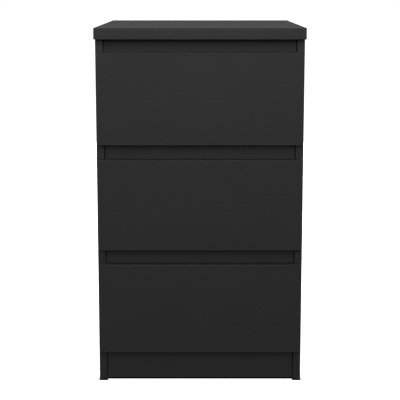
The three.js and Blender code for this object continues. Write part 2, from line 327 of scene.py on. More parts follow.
# %% [markdown]
# ## Edge band
#
# The cut edges of a board are closed with a 1 mm strip of ABS in nearly the same black, glued on and
# rounded by a cutter. A scraper runs along it last, which leaves it about as matt as the foil, with no
# pearl but a faint cross chatter every 3 mm. Lacquer, paint and plain mouldings are also one drift of
# colour and one grain, so one function makes them all.

# %% Plain skins, and the edge band
ABS_IOR = 1.52


def skin(name, shades, drift, grain, height, roughness, ior, specular=0.5):
    """A skin with a colour that drifts and a grain in its gloss and relief, each a size and a detail."""
    material, tree, shader = new_material(name)
    place = surface_place(tree)
    cloud = ranged(tree, noise(tree, place, *drift), 0, 1)
    bumps = noise(tree, place, *grain)
    feed(tree, shader, Base_Color=coloured(tree, cloud, *shades), Roughness=ranged(tree, bumps, *roughness))
    relief(tree, shader, bumps, height)
    shader.inputs["IOR"].default_value = ior
    shader.inputs["Specular IOR Level"].default_value = specular
    return material, shader


drift, chatter = (30 * MM, 2), (3 * MM, 1)
shades, gloss = (0x222222, 0x252525), (0.46, 0.52)
edge_band, _ = skin("black_abs_edge_band", shades, drift, chatter, 0.01 * MM, gloss, ABS_IOR, 0.32)
print("edge band:", edge_band.name)

# %% [markdown]
# ## Bare boards
#
# Where nobody looks, the makers save the band: the lower and rear edges of the sides, and every drilled
# hole, are bare particleboard, wood chips 2 to 5 mm long pressed in glue. The back and the drawer bottoms
# are 3 mm fibreboard, a felt of wood fibres pressed smooth. A cell pattern gives the chips and the dark
# gaps between them, which a plain noise can't. The felt is drawn at 1.4 mm, coarse enough to show.

# %% Particleboard and fibreboard
WOOD_IOR = 1.53
SHADES_PER_FLAKE = 1.7  # a patch of one brown is this many flakes across
FLAKE_HEIGHT = 0.06 * MM


def bare_wood(name, browns, flake, specular):
    """Pressed wood: flakes of two browns, darker gaps between them, and a dry, rough surface."""
    material, tree, shader = new_material(name)
    place = surface_place(tree)
    flakes = add_node(tree, "ShaderNodeTexVoronoi", inputs={"Vector": place, "Scale": 1 / flake})
    shades = ranged(tree, noise(tree, place, flake * SHADES_PER_FLAKE, 4), 0, 1)
    base = coloured(tree, shades, browns[0], browns[1])
    gaps = ranged(tree, (flakes, "Distance"), 0, 0.45, 0.2, 0.8)
    feed(tree, shader, Base_Color=coloured(tree, gaps, base, browns[2]))
    feed(tree, shader, Roughness=ranged(tree, shades, 0.72, 0.85, 0, 1))
    relief(tree, shader, (flakes, "Distance"), FLAKE_HEIGHT)
    shader.inputs["IOR"].default_value = WOOD_IOR
    shader.inputs["Specular IOR Level"].default_value = specular
    return material


particleboard = bare_wood("bare_particleboard", (0xA98A62, 0x8A6B45, 0x55402A), 3 * MM, 0.25)
fibreboard = bare_wood("bare_fibreboard", (0x7A5C40, 0x684D35, 0x4C3928), 1.4 * MM, 0.35)
print("bare boards:", particleboard.name, fibreboard.name)

# %% [markdown]
# ## Lacquer on fibreboard
#
# One face of the fibreboard is rolled with black lacquer. It flows out to a skin smoother than the foil,
# with the shallow orange peel that a roller leaves, a few millimetres across. So the grain is wider and
# higher than on the band.

# %% Lacquer
drift, orange_peel = (50 * MM, 3), (2.5 * MM, 2)
shades, gloss = (0x2B2B2A, 0x302F2E), (0.38, 0.46)
lacquered, _ = skin("black_lacquered_fibreboard", shades, drift, orange_peel, 0.03 * MM, gloss, WOOD_IOR, 0.4)
print("lacquer:", lacquered.name)

# %% [markdown]
# ## Steel, painted and plated
#
# The runners are 1 mm steel, pressed and then dipped in warm grey-white epoxy powder, which melts to a
# soft, slightly pebbled skin: a painted metal is a dielectric, so its metallic value stays at 0. The
# screws, nails, axles and cam locks are zinc-plated, which is real metal, bluish and cloudy from the bath.

# %% Powder coat and zinc
EPOXY_IOR = 1.55
BATH_CLOUD, BATH_HEIGHT = 2.5 * MM, 0.01 * MM

drift, pebble = (60 * MM, 3), (1.5 * MM, 2)
shades, gloss = (0xD3D2CB, 0xDBDAD4), (0.3, 0.4)
powder_coat, _ = skin("epoxy_coated_steel", shades, drift, pebble, 0.02 * MM, gloss, EPOXY_IOR)

zinc, tree, shader = new_material("zinc_plated_steel")
place = surface_place(tree)
bath = ranged(tree, noise(tree, place, BATH_CLOUD, 4), 0, 1)
feed(tree, shader, Base_Color=coloured(tree, bath, 0xB4B8BC, 0xCBCED0))
feed(tree, shader, Roughness=ranged(tree, bath, 0.28, 0.42, 0, 1))
relief(tree, shader, bath, BATH_HEIGHT)
shader.inputs["Metallic"].default_value = 1.0
print("steel:", powder_coat.name, zinc.name)

# %% [markdown]
# ## Nylon and polypropylene
#
# The rollers are moulded in natural nylon, off-white, with faint flow lines, and they let a little light
# in, so their shader has some subsurface. The glides are black polypropylene from a mould with a fine
# frost. Each has one pattern for its colour, gloss and relief, as the mould makes them together.

# %% Moulded plastics
NYLON_IOR, POLYPROPYLENE_IOR = 1.53, 1.49

flow = (3 * MM, 3)
shades, gloss = (0xE9E6DC, 0xEFEDE5), (0.36, 0.46)
nylon, shader = skin("natural_nylon", shades, flow, flow, 0.01 * MM, gloss, NYLON_IOR)
shader.inputs["Subsurface Weight"].default_value = 0.15
shader.inputs["Subsurface Scale"].default_value = 1 * MM

frost = (0.8 * MM, 2)
shades, gloss = (0x161616, 0x1B1B1B), (0.5, 0.62)
glide_plastic, _ = skin("black_polypropylene", shades, frost, frost, 0.02 * MM, gloss, POLYPROPYLENE_IOR)
print("plastics:", nylon.name, glide_plastic.name)

# %% [markdown]
# ## Blocks and rods
#
# Every piece starts as a primitive at its own size and place, because its faces already point out, and is
# then shaped by the operators of the edit menus. An operator acts on whatever is selected, so everything is
# deselected first. A board takes the corners of its own node in the frame. The place and the size then go
# into the mesh, and leave the object at the origin.

# %% Helpers for primitives
QUARTER = math.radians(90)
TURN = {"x": (0, QUARTER, 0), "y": (QUARTER, 0, 0), "z": (0, 0, 0)}


def settle():
    """Moves the active object's place and size into its mesh."""
    bpy.ops.object.transform_apply(location=True, rotation=True, scale=True)
    return bpy.context.object


def block(name, low, high):
    """A cuboid between two corners."""
    low, high = Vector(low), Vector(high)
    bpy.ops.object.select_all(action="DESELECT")
    bpy.ops.mesh.primitive_cube_add(size=1, location=(low + high) / 2)
    bpy.context.object.name = name
    bpy.context.object.scale = high - low
    return settle()


def rod(name, middle, axis, radius, length, sides=24):
    """A cylinder about a point, along x, y or z."""
    size = {"vertices": sides, "radius": radius, "depth": length}
    bpy.ops.object.select_all(action="DESELECT")
    bpy.ops.mesh.primitive_cylinder_add(location=middle, rotation=TURN[axis], **size)
    bpy.context.object.name = name
    return settle()


print("a block and a rod can be made")

# %% [markdown]
# ## Drilling, softening and joining
#
# A maker drills and punches, then breaks the sharp edges. Here a hole is a boolean cut by a rod that
# carries the finish of the hole's wall. The edges are broken by a bevel that only takes edges sharper than
# 50 degrees, so it leaves round walls alone. Parts that only sit together, such as screws in a runner, are
# joined into one object.

# %% Helpers to drill and soften
SMOOTH_BELOW = math.radians(50)


def only(piece):
    """Selects one object and nothing else."""
    bpy.ops.object.select_all(action="DESELECT")
    piece.select_set(True)
    bpy.context.view_layer.objects.active = piece


def give(piece, *materials):
    """Fills the piece's material slots."""
    piece.data.materials.clear()
    for material in materials:
        piece.data.materials.append(material)


def cut(piece, cutter, united=False):
    """Cuts one piece by another, or joins the two into one skin, and uses the second one up."""
    only(piece)
    change = piece.modifiers.new("cut", "BOOLEAN")
    change.operation = "UNION" if united else "DIFFERENCE"
    change.solver = "EXACT"
    change.material_mode = "TRANSFER"
    change.object = cutter
    bpy.ops.object.modifier_apply(modifier=change.name)
    bpy.data.objects.remove(cutter, do_unlink=True)


def soften(piece, width, segments=2):
    """Rounds every sharp edge a little."""
    only(piece)
    change = piece.modifiers.new("soften", "BEVEL")
    change.width = width
    change.segments = segments
    change.limit_method = "ANGLE"
    change.angle_limit = SMOOTH_BELOW
    bpy.ops.object.modifier_apply(modifier=change.name)


print("edges sharper than", round(math.degrees(SMOOTH_BELOW)), "degrees are softened")

# %% Helper to join
def merged(name, pieces):
    """Joins several pieces into one object."""
    only(pieces[0])
    for piece in pieces:
        piece.select_set(True)
    bpy.ops.object.join()
    bpy.context.object.name = name
    return bpy.context.object


print("pieces can be joined")

# %% [markdown]
# ## Copies
#
# What repeats is modelled once and copied. A linked copy would be smaller, but each piece has its place in
# its mesh, so each copy gets a mesh of its own. A mirrored copy comes out inside out, so its normals are
# recalculated.

# %% Helper for copies
def copied(piece, name, move=(0, 0, 0), turn=0, mirrored=False):
    """A copy that is turned about z, moved, or mirrored from the right side to the left."""
    clone = piece.copy()
    clone.data = piece.data.copy()
    clone.name = name
    bpy.context.scene.collection.objects.link(clone)
    only(clone)
    clone.location = move
    clone.rotation_euler.z = math.radians(turn)
    clone.scale.x = -1 if mirrored else 1
    settle()
    if mirrored:
        bpy.ops.object.mode_set(mode="EDIT")
        bpy.ops.mesh.select_all(action="SELECT")
        bpy.ops.mesh.normals_make_consistent(inside=False)
        bpy.ops.object.mode_set(mode="OBJECT")
    return clone


print("copies get meshes of their own")

# %% [markdown]
# ## Screws and cam locks
#
# Two fasteners repeat all over the boards, so each is modelled once, facing +X at the origin, and copied. A
# screw head is a disc sunk flush, a cam lock is a 15 mm disc in a drilled pocket, and both have a cross for
# the driver. A cross that is only drawn shows that it has no depth, so two thin blocks cut it.

# %% One screw head and one cam lock
DISC_SIDES = 32
DISC_RIM = 0.2 * MM
HEAD_RADIUS, HEAD_THICKNESS, HEAD_CROSS = 3.4 * MM, 0.9 * MM, 3.6 * MM
CAM_RADIUS, CAM_THICKNESS, CAM_CROSS = 7.35 * MM, 1.6 * MM, 7 * MM
CROSS_DEPTH = 0.6  # of the thickness of the disc


def driven_disc(name, radius, thickness, cross):
    """A zinc disc from x = -thickness to x = 0, with a cross in its +X face."""
    piece = rod(name, (-thickness / 2, 0, 0), "x", radius, thickness, DISC_SIDES)
    give(piece, zinc)
    soften(piece, DISC_RIM)
    bar = cross / 4
    for width, height in ((cross, bar), (bar, cross)):
        low = (-CROSS_DEPTH * thickness, -width / 2, -height / 2)
        cutter = block("cross", low, (thickness, width / 2, height / 2))
        give(cutter, zinc)
        cut(piece, cutter)
    return piece


screw_head = driven_disc("screw_head", HEAD_RADIUS, HEAD_THICKNESS, HEAD_CROSS)
cam_lock = driven_disc("cam_lock", CAM_RADIUS, CAM_THICKNESS, CAM_CROSS)
print("screw head:", len(screw_head.data.polygons), "faces, cam lock:", len(cam_lock.data.polygons))

# %% Drill for a fastener and sink it
FACING = {"+x": 0, "+y": 90, "-x": 180, "-y": 270}
CAM_POCKET = 7.5 * MM  # radius
SCREW_HOLE = 3.6 * MM  # radius
DRILLED = 2 * MM
SUNK_DEPTH = 0.2 * MM
fasteners = {}


def sunk(sample, spots, facing, below=0.0):
    """Copies of a fastener at some spots, its face turned towards an axis and a little below the surface."""
    inward = Vector((-below, 0, 0))
    inward.rotate(Euler((0, 0, math.radians(FACING[facing]))))
    return [copied(sample, "fastener", Vector(spot) + inward, FACING[facing]) for spot in spots]


def fasten(board, body, sample, spots, facing, radius):
    """Drills a hole in a board at each spot, and sinks a copy of a fastener in it."""
    for spot in spots:
        drill = rod("drill", spot, facing[1], radius, 2 * DRILLED, DISC_SIDES)
        give(drill, particleboard)
        cut(board, drill)
    fasteners.setdefault(body, []).extend(sunk(sample, spots, facing, SUNK_DEPTH))


print("holes are", round(DRILLED / MM), "mm deep")

# %% [markdown]
# ## Selecting and painting
#
# In edit mode a step acts on the selected faces, edges or points. With a mouse they are clicked, and here
# each is tested by its place or the way it looks, which still works when a size changes. The faces that a
# step leaves selected can then be given another finish.

# %% Helpers for edit mode
FLAT = 0.999  # a face looks along an axis when its normal has this much of it


def pick(piece, kind, test):
    """In edit mode, selects the faces ("FACE"), edges ("EDGE") or points ("VERT") that pass a test."""
    bpy.ops.mesh.select_mode(type=kind)
    bpy.ops.mesh.select_all(action="DESELECT")
    form = bmesh.from_edit_mesh(piece.data)
    for part in {"FACE": form.faces, "EDGE": form.edges, "VERT": form.verts}[kind]:
        part.select_set(bool(test(part)))
    form.select_flush_mode()
    bmesh.update_edit_mesh(piece.data)


def paint_selection(piece, slot):
    """In edit mode, gives the selected faces the material in one of the piece's slots."""
    piece.active_material_index = slot
    bpy.ops.object.material_slot_assign()


print("flat is within", round(math.degrees(math.acos(FLAT)), 1), "degrees of an axis")

# %% [markdown]
# ## Boards
#
# A board could be a plain cuboid, but a real one gives itself away at its edges: the arris is rounded about
# 0.8 mm by the trimming cutter, and about 1 mm in a hairline shows where the band meets the foil. So the
# cuboid's edges are bevelled, its two large faces are inset by the band, and more insets sink the hairline.
# Foil covers what is inside it and band what is outside, or particleboard where an edge is left bare.

# %% One banded board
ARRIS = 0.8 * MM
BAND = 1.0 * MM
HAIRLINE = 0.12 * MM
X, Y, Z = 0, 1, 2
FOIL_SLOT, BAND_SLOT, BARE_SLOT = 0, 1, 2


def banded_board(node, thin, foil=matt_foil, bare=None):
    """The board of a node, thin along one axis. `bare` tells by their normals which edges have no band."""
    piece = block(f"{node}_foiled", *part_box(node))
    give(piece, foil, edge_band, particleboard)
    bpy.ops.object.mode_set(mode="EDIT")
    bpy.ops.mesh.select_all(action="SELECT")
    paint_selection(piece, BAND_SLOT)
    bpy.ops.mesh.bevel(offset=ARRIS, segments=2, affect="EDGES")
    if bare:
        pick(piece, "FACE", lambda face: bare(face.normal))
        paint_selection(piece, BARE_SLOT)
    pick(piece, "FACE", lambda face: abs(face.normal[thin]) > FLAT)
    bpy.ops.mesh.inset(thickness=BAND - ARRIS + HAIRLINE, depth=0)
    bpy.ops.mesh.inset(thickness=HAIRLINE, depth=-HAIRLINE)
    bpy.ops.mesh.inset(thickness=HAIRLINE, depth=0)
    bpy.ops.mesh.inset(thickness=HAIRLINE, depth=HAIRLINE)
    paint_selection(piece, FOIL_SLOT)
    bpy.ops.object.mode_set(mode="OBJECT")
    return piece


print("a hairline lies", round((BAND + HAIRLINE) / MM, 2), "mm in from the edge")

# %% [markdown]
# ## Finishing a piece
#
# First the normals are smoothed, with the large flat faces leading, because a bevelled box with plain
# smooth shading looks pillowed. Then the piece is hung on the body that carries it, so that it moves with
# its drawer, and it takes the place of its plain node, which is hidden.

# %% Helpers for finishing
def smooth(piece):
    """Smooth shading that leaves sharp edges crisp and large flat faces flat."""
    only(piece)
    bpy.ops.object.shade_smooth_by_angle(angle=SMOOTH_BELOW)
    weighting = piece.modifiers.new("flat faces lead", "WEIGHTED_NORMAL")
    weighting.keep_sharp = True
    bpy.ops.object.modifier_apply(modifier=weighting.name)


def fit(piece, body, node=None):
    """Smooths a piece, hangs it on its body, and hides the plain node that it stands for."""
    smooth(piece)
    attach(piece, body)
    if node:
        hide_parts(node)


# %% [markdown]
# ## The carcass
#
# The carcass is two sides, a top, a plinth and five rails. Each rail pulls up against the sides with a cam
# lock at each end of its inner face, and each side has two more near its upper edge for the top. Dowels and
# glue would show nothing, but could not be taken apart. The sides stay bare below and behind, and the rails
# and the plinth at their hidden ends.

# %% The carcass boards
CAM_INSET = 34 * MM  # from the end of a board, the usual length of a cam bolt
SIDE_CAMS = (50 * MM, 420 * MM)  # behind the front edge of a side
CROSS_BOARDS = {  # and the way that the face with their cam locks looks
    "plinth_board": "+y",
    "lower_front_rail": "+y",
    "upper_front_rail": "+y",
    "top_front_rail": "+y",
    "rear_bottom_rail": "-y",
    "rear_top_rail": "-y",
}


def carcass_board(node, thin, spots=(), facing="+x", bare=None):
    """One board of the carcass, fitted, with cam locks at some spots of the face that looks `facing`."""
    piece = banded_board(node, thin, bare=bare)
    if spots:
        fasten(piece, "carcass", cam_lock, spots, facing, CAM_POCKET)
    fit(piece, "carcass", node)


carcass_board("top_panel", Z)
for hand, side in HANDS.items():
    low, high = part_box(f"{hand}_side_panel")
    inner = low.x if side > 0 else high.x
    spots = [(inner, low.y + back, high.z - CAM_INSET) for back in SIDE_CAMS]
    facing = "-x" if side > 0 else "+x"
    carcass_board(f"{hand}_side_panel", X, spots, facing, lambda normal: max(-normal.z, normal.y) > FLAT)
for node, facing in CROSS_BOARDS.items():
    low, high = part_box(node)
    inner = high.y if facing == "+y" else low.y
    spots = [(x, inner, (low.z + high.z) / 2) for x in (low.x + CAM_INSET, high.x - CAM_INSET)]
    carcass_board(node, Y, spots, facing, lambda normal: abs(normal.x) > FLAT)
print("carcass:", len(CROSS_BOARDS) + 3, "boards,", len(fasteners["carcass"]), "cam locks")

# %% [markdown]
# ## Drawers
#
# A drawer is a box of thinner boards behind a full-size front. Its bottom slides into a groove that runs
# round the inside, and a bottom that only touched the sides would look glued on. So the groove is cut
# first, by the bottom sheet's own cuboid, grown by the play that a fitter needs to push it in.

# %% A drawer board with its groove
GROOVE_PLAY = 0.25 * MM  # above and below the sheet
GROOVE_SPARE = 0.5 * MM  # all round it


def groove_cutter(level):
    """The space that the drawer bottom needs, a little larger than the sheet."""
    low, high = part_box(f"{level}_drawer_bottom")
    play = Vector((GROOVE_SPARE, GROOVE_SPARE, GROOVE_PLAY))
    cutter = block("groove_cutter", low - play, high + play)
    give(cutter, particleboard)
    return cutter


def drawer_board(level, part, thin, **finish):
    """One board of a drawer, with the groove for the bottom if it is one that the groove crosses."""
    piece = banded_board(f"{level}_drawer_{part}", thin, **finish)
    if part != "back":
        cut(piece, groove_cutter(level))
    return piece


print("the groove is", round(2 * GROOVE_PLAY / MM, 1), "mm wider than the sheet")

# %% Three drawer boxes
FASTENER_RISES = (45 * MM, 95 * MM)  # above the lower edge of the box
WRAPPED = {"foil": drawer_foil, "bare": lambda normal: normal.z < -FLAT}

for level in LEVELS:
    body = f"{level}_drawer"
    fit(drawer_board(level, "front", Y), body, f"{body}_front")
    for hand, side in HANDS.items():
        node = f"{body}_{hand}_side"
        piece = drawer_board(level, f"{hand}_side", X, **WRAPPED)
        low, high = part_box(node)
        outer, facing = (high.x, "+x") if side > 0 else (low.x, "-x")
        cams = [(outer, low.y + CAM_INSET, low.z + rise) for rise in FASTENER_RISES]
        back_low, back_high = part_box(f"{body}_back")
        screws = [(outer, (back_low.y + back_high.y) / 2, low.z + rise) for rise in FASTENER_RISES]
        fasten(piece, body, cam_lock, cams, facing, CAM_POCKET)
        fasten(piece, body, screw_head, screws, facing, SCREW_HOLE)
        fit(piece, body, node)
    fit(drawer_board(level, "back", Y, **WRAPPED), body, f"{body}_back")
print("drawers:", 4 * len(LEVELS), "boards")

# %% [markdown]
# ## Thin sheets
#
# The back and the drawer bottoms are single sheets of fibreboard, lacquered on the face that shows when a
# drawer is open. They have no band, so they need no hairline. One narrow bevel stands for the sanding that
# takes the sharpness off a sawn edge.

# %% Back and bottoms
SANDED = 0.3 * MM
LACQUER_SLOT = 1


def thin_sheet(node, thin, shown):
    """A sheet whose lacquered face looks along `shown` (+1 or -1) of its thin axis."""
    piece = block(f"{node}_sheet", *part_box(node))
    give(piece, fibreboard, lacquered)
    bpy.ops.object.mode_set(mode="EDIT")
    bpy.ops.mesh.select_all(action="SELECT")
    bpy.ops.mesh.bevel(offset=SANDED, segments=1, affect="EDGES")
    pick(piece, "FACE", lambda face: face.normal[thin] * shown > FLAT)
    paint_selection(piece, LACQUER_SLOT)
    bpy.ops.object.mode_set(mode="OBJECT")
    return piece


fit(thin_sheet("back_panel", Y, -1), "carcass", "back_panel")
for level in LEVELS:
    node = f"{level}_drawer_bottom"
    fit(thin_sheet(node, Z, 1), f"{level}_drawer", node)
print("sheets: back panel and", len(LEVELS), "drawer bottoms")

# %% [markdown]
# ## Glides
#
# A glide is a flat oval button. An outline could be extruded, but it is quicker to pull a short cylinder in
# two: the points ahead of its middle move forwards and the rest back, and the faces between them stretch
# into straight sides. The edge that meets the floor is rounded, and two tacks sit in pockets, clear of the
# floor.

# %% One glide with its tacks
OVAL_SIDES = 34  # no point falls on the middle line, so the pull leaves straight sides
GLIDE_RIM = 0.6 * MM
TACKS_OUT = 0.7  # of the way from the middle to where the round ends start
TACK_POCKET, TACK_POCKET_DEPTH = 2.8 * MM, 1.3 * MM
TACK_RADIUS, TACK_THICKNESS, TACK_RIM = 2.3 * MM, 0.9 * MM, 0.3 * MM
TACK_RISE = 0.95 * MM  # middle of a tack's head above the floor


def pull_in_two(piece, middle_y, reach):
    """Pulls the front and the rear half of a round piece apart by `reach` each way."""
    bpy.ops.object.mode_set(mode="EDIT")
    for way in (1, -1):
        pick(piece, "VERT", lambda point: (point.co.y - middle_y) * way > 0)
        bpy.ops.transform.translate(value=(0, way * reach, 0))
    bpy.ops.object.mode_set(mode="OBJECT")


def glide(node):
    """The glide of a node."""
    low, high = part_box(node)
    middle = (low + high) / 2
    radius = (high.x - low.x) / 2
    reach = (high.y - low.y) / 2 - radius
    piece = rod(f"{node}_button", middle, "z", radius, high.z - low.z, OVAL_SIDES)
    give(piece, glide_plastic, zinc)
    pull_in_two(piece, middle.y, reach)
    bpy.ops.object.mode_set(mode="EDIT")
    pick(piece, "FACE", lambda face: face.normal.z < -FLAT)
    bpy.ops.mesh.bevel(offset=GLIDE_RIM, segments=3, affect="EDGES")
    bpy.ops.object.mode_set(mode="OBJECT")
    tacks = []
    for way in (1, -1):
        spot = Vector((middle.x, middle.y + way * TACKS_OUT * reach, low.z))
        pocket = rod("pocket", spot, "z", TACK_POCKET, 2 * TACK_POCKET_DEPTH)
        give(pocket, glide_plastic)
        cut(piece, pocket)
        tack = rod("tack", spot + Vector((0, 0, TACK_RISE)), "z", TACK_RADIUS, TACK_THICKNESS)
        give(tack, zinc)
        soften(tack, TACK_RIM)
        tacks.append(tack)
    return merged(piece.name, [piece, *tacks])


print("a tack lies", round(TACK_RISE / MM, 2), "mm above the floor")

# %% Four glides
for end in ("front", "rear"):
    for hand in HANDS:
        node = f"{end}_{hand}_glide"
        fit(glide(node), "carcass", node)
print("glides: 4")

# %% [markdown]
# ## Folded steel
#
# A runner is strip steel folded on a press. An extruded section would have sharp corners, so it is modelled
# as the fold: a plane for the upright part, its long edges extruded sideways into the flanges, the corners
# rounded and the bends bevelled to a radius. Solidify then gives the 1 mm of steel.

# %% Fold strip steel
STEEL = 1.0 * MM
BEND = 1.4 * MM
CORNER = 2.0 * MM
NEAR = 0.01 * MM


def folded_strip(name, x, low, high, flanges):
    """A plane at x between two (y, z) corners, with a flange on its lower and on its upper edge."""
    length, height = high[0] - low[0], high[1] - low[1]
    bpy.ops.object.select_all(action="DESELECT")
    bpy.ops.mesh.primitive_plane_add(size=1, rotation=TURN["x"])
    bpy.context.object.location = (x, (low[0] + high[0]) / 2, (low[1] + high[1]) / 2)
    bpy.context.object.scale = (height, length, 1)
    bpy.context.object.name = name
    piece = settle()

    def on_line(edge, z):
        return all(abs(p.co.x - x) < NEAR and abs(p.co.z - z) < NEAR for p in edge.verts)

    def is_fold(edge):
        first, second = (point.co for point in edge.verts)
        return abs(first.x - x) < NEAR and abs(second.x - x) < NEAR and abs(first.y - second.y) > length / 2

    bpy.ops.object.mode_set(mode="EDIT")
    for z, reach in ((low[1], flanges[0]), (high[1], flanges[1])):
        pick(piece, "EDGE", lambda edge: on_line(edge, z))
        bpy.ops.mesh.extrude_region_move(TRANSFORM_OT_translate={"value": (reach, 0, 0)})
    bpy.ops.mesh.select_all(action="SELECT")
    bpy.ops.mesh.normals_make_consistent(inside=False)
    upright = [face for face in bmesh.from_edit_mesh(piece.data).faces if abs(face.normal.x) > FLAT]
    if upright[0].normal.x < 0:
        bpy.ops.mesh.flip_normals()
    pick(piece, "VERT", lambda point: abs(point.co.x - x) > NEAR)
    bpy.ops.mesh.bevel(offset=CORNER, segments=3, affect="VERTICES")
    pick(piece, "EDGE", is_fold)
    bpy.ops.mesh.bevel(offset=BEND, segments=3, affect="EDGES")
    bpy.ops.object.mode_set(mode="OBJECT")
    give(piece, powder_coat, zinc)
    return piece


print("strips bend to", BEND / MM, "mm")

# %% Thicken it
def thickened(piece):
    """Gives a folded strip its steel, on the side away from its normals."""
    only(piece)
    change = piece.modifiers.new("steel", "SOLIDIFY")
    change.thickness = STEEL
    change.offset = -1
    change.use_even_offset = True
    bpy.ops.object.modifier_apply(modifier=change.name)


print("steel is", STEEL / MM, "mm thick")

# %% [markdown]
# ## Holes and axles
#
# The press also punches the screw holes, and slots that let the fitter shift a runner before it is screwed
# tight. A slot is a punch pulled in two, as a glide is. The axle of a roller is a rivet. Its shank and head
# are united into one skin, because two rods that only touch would show a seam.

# %% Punching and riveting
PUNCH_LENGTH = 6 * STEEL
AXLE_RADIUS = 2.5 * MM
AXLE_LENGTH = 9.25 * MM  # from the steel to the head
AXLE_HEAD_RADIUS, AXLE_HEAD_THICKNESS, AXLE_HEAD_RIM = 4 * MM, 0.9 * MM, 0.35 * MM


def punch(piece, middle, radius, length=0.0):
    """Punches a hole through an upright strip, round or, with a length, drawn out along y."""
    cutter = rod("punch", middle, "x", radius, PUNCH_LENGTH, OVAL_SIDES)
    if length:
        pull_in_two(cutter, middle[1], length / 2 - radius)
    give(cutter, powder_coat)
    cut(piece, cutter)


def rivet(start, way):
    """The axle of a roller: a shank that stands out of the steel along x, and its head."""
    shank_x = start[0] + way * AXLE_LENGTH / 2
    head_x = start[0] + way * (AXLE_LENGTH + AXLE_HEAD_THICKNESS / 2)
    shank_length = AXLE_LENGTH + 2 * NEAR
    piece = rod("shank", (shank_x, *start[1:]), "x", AXLE_RADIUS, shank_length, DISC_SIDES)
    head = rod("head", (head_x, *start[1:]), "x", AXLE_HEAD_RADIUS, AXLE_HEAD_THICKNESS, DISC_SIDES)
    give(piece, zinc)
    give(head, zinc)
    soften(head, AXLE_HEAD_RIM, 3)
    cut(piece, head, united=True)
    return piece


print("an axle is", 2 * AXLE_RADIUS / MM, "mm thick")

# %% [markdown]
# ## The runner on the carcass
#
# The carcass carries a C-shaped channel, open towards the drawer. The drawer's rear roller runs inside it,
# and its own roller, on an axle near the front, carries the drawer's track. A pressed bump on the lower
# flange stops the rear roller before the drawer falls out. One is modelled for the right of the lowest
# drawer, because all six are alike.

# %% One channel
SCREWS_AT = (-190 * MM, -30 * MM, 160 * MM)  # along y, as the slots and holes
SLOTS_AT = (-110 * MM, 60 * MM, 110 * MM)
HOLES_AT = (-70 * MM, 10 * MM, 190 * MM)
HOLE_RADIUS = 2.5 * MM
CHANNEL_SLOT = 14 * MM
CHANNEL_FLANGE = 10.5 * MM
STOP_Y = -141.9 * MM  # its front. The rear roller meets its back when the drawer is out
STOP_SIZE = Vector((9.3 * MM, 3 * MM, 3 * MM))
STOP_REACH = 9.5 * MM  # from the upright part to the far end of the stop
STOP_ROUNDING = 0.8 * MM
SCREW_SUNK = 0.05 * MM

low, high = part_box("lower_right_cabinet_runner")
front_axle = sum(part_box("lower_right_front_roller"), Vector()) / 2
axis_z = (low.z + high.z) / 2
web_face = high.x - STEEL
flanges = (-CHANNEL_FLANGE, -CHANNEL_FLANGE)
channel = folded_strip("channel", high.x, (low.y, low.z), (high.y, high.z), flanges)
thickened(channel)
stop_low = Vector((web_face - STOP_REACH, STOP_Y, low.z + STEEL / 2))
stop = block("stop", stop_low, stop_low + STOP_SIZE)
give(stop, powder_coat)
soften(stop, STOP_ROUNDING, 3)
cut(channel, stop, united=True)
for y in SCREWS_AT:
    punch(channel, (web_face, y, axis_z), SCREW_HOLE)
for y in SLOTS_AT:
    punch(channel, (web_face, y, axis_z), HOLE_RADIUS, CHANNEL_SLOT)
for y in HOLES_AT:
    punch(channel, (web_face, y, axis_z), HOLE_RADIUS)
screws = sunk(screw_head, [(web_face, y, axis_z) for y in SCREWS_AT], "-x", SCREW_SUNK)
axle = rivet((web_face, front_axle.y, front_axle.z), -1)
channel = merged("channel", [channel, axle, *screws])
print("channel:", len(channel.data.polygons), "faces")

# %% [markdown]
# ## The runner on the drawer
#
# The drawer carries a strip with two flanges that point opposite ways: one hooks under the drawer side, and
# the other is the track that rides on the front roller. The track ends short of the rear roller, so the
# fold is bisected there and the faces behind the cut are deleted, before the steel gets its thickness.

# %% One strip
HOOK_FLANGE = 12 * MM
TRACK_FLANGE = 8.75 * MM
TRACK_GAP = 2 * MM  # between the end of the track and the rear roller
REAR_ROLLER_RADIUS = 9.8 * MM
STRIP_SLOTS_AT = (-100 * MM, 70 * MM)
STRIP_SLOT = 12 * MM

low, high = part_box("lower_right_drawer_runner")
rear_axle = sum(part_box("lower_right_rear_roller"), Vector()) / 2
plate_face = low.x + HOOK_FLANGE
flanges = (-HOOK_FLANGE, TRACK_FLANGE)
strip = folded_strip("strip", plate_face, (low.y, low.z), (high.y, high.z - STEEL), flanges)
track_end = rear_axle.y - REAR_ROLLER_RADIUS - TRACK_GAP
bpy.ops.object.mode_set(mode="EDIT")
bpy.ops.mesh.select_all(action="SELECT")
bpy.ops.mesh.bisect(plane_co=(0, track_end, 0), plane_no=(0, 1, 0))


def past_the_track(face):
    """Whether a face is on the track's side of the plate, behind the end of the track."""
    middle = face.calc_center_median()
    return middle.x > plate_face + NEAR and middle.y > track_end


pick(strip, "FACE", past_the_track)
bpy.ops.mesh.delete(type="FACE")
bpy.ops.object.mode_set(mode="OBJECT")
thickened(strip)
for y in SCREWS_AT:
    punch(strip, (plate_face, y, axis_z), SCREW_HOLE)
for y in STRIP_SLOTS_AT:
    punch(strip, (plate_face, y, axis_z), HOLE_RADIUS, STRIP_SLOT)
screws = sunk(screw_head, [(plate_face, y, axis_z) for y in SCREWS_AT], "+x", SCREW_SUNK)
axle = rivet((plate_face, rear_axle.y, rear_axle.z), 1)
strip = merged("strip", [strip, axle, *screws])
print("strip:", len(strip.data.polygons), "faces")

# %% [markdown]
# ## Rollers
#
# Each roller is moulded nylon, with a tyre, a thin dished web, a hub and ribs. A spun profile would leave
# the ribs as separate blocks. So a cylinder's two ends are worked together: the rims are bevelled, insets
# sink a dish between tyre and hub, six of the dish's faces are raised as ribs, and the innermost faces are
# opened and bridged into the bore that turns on the rivet.

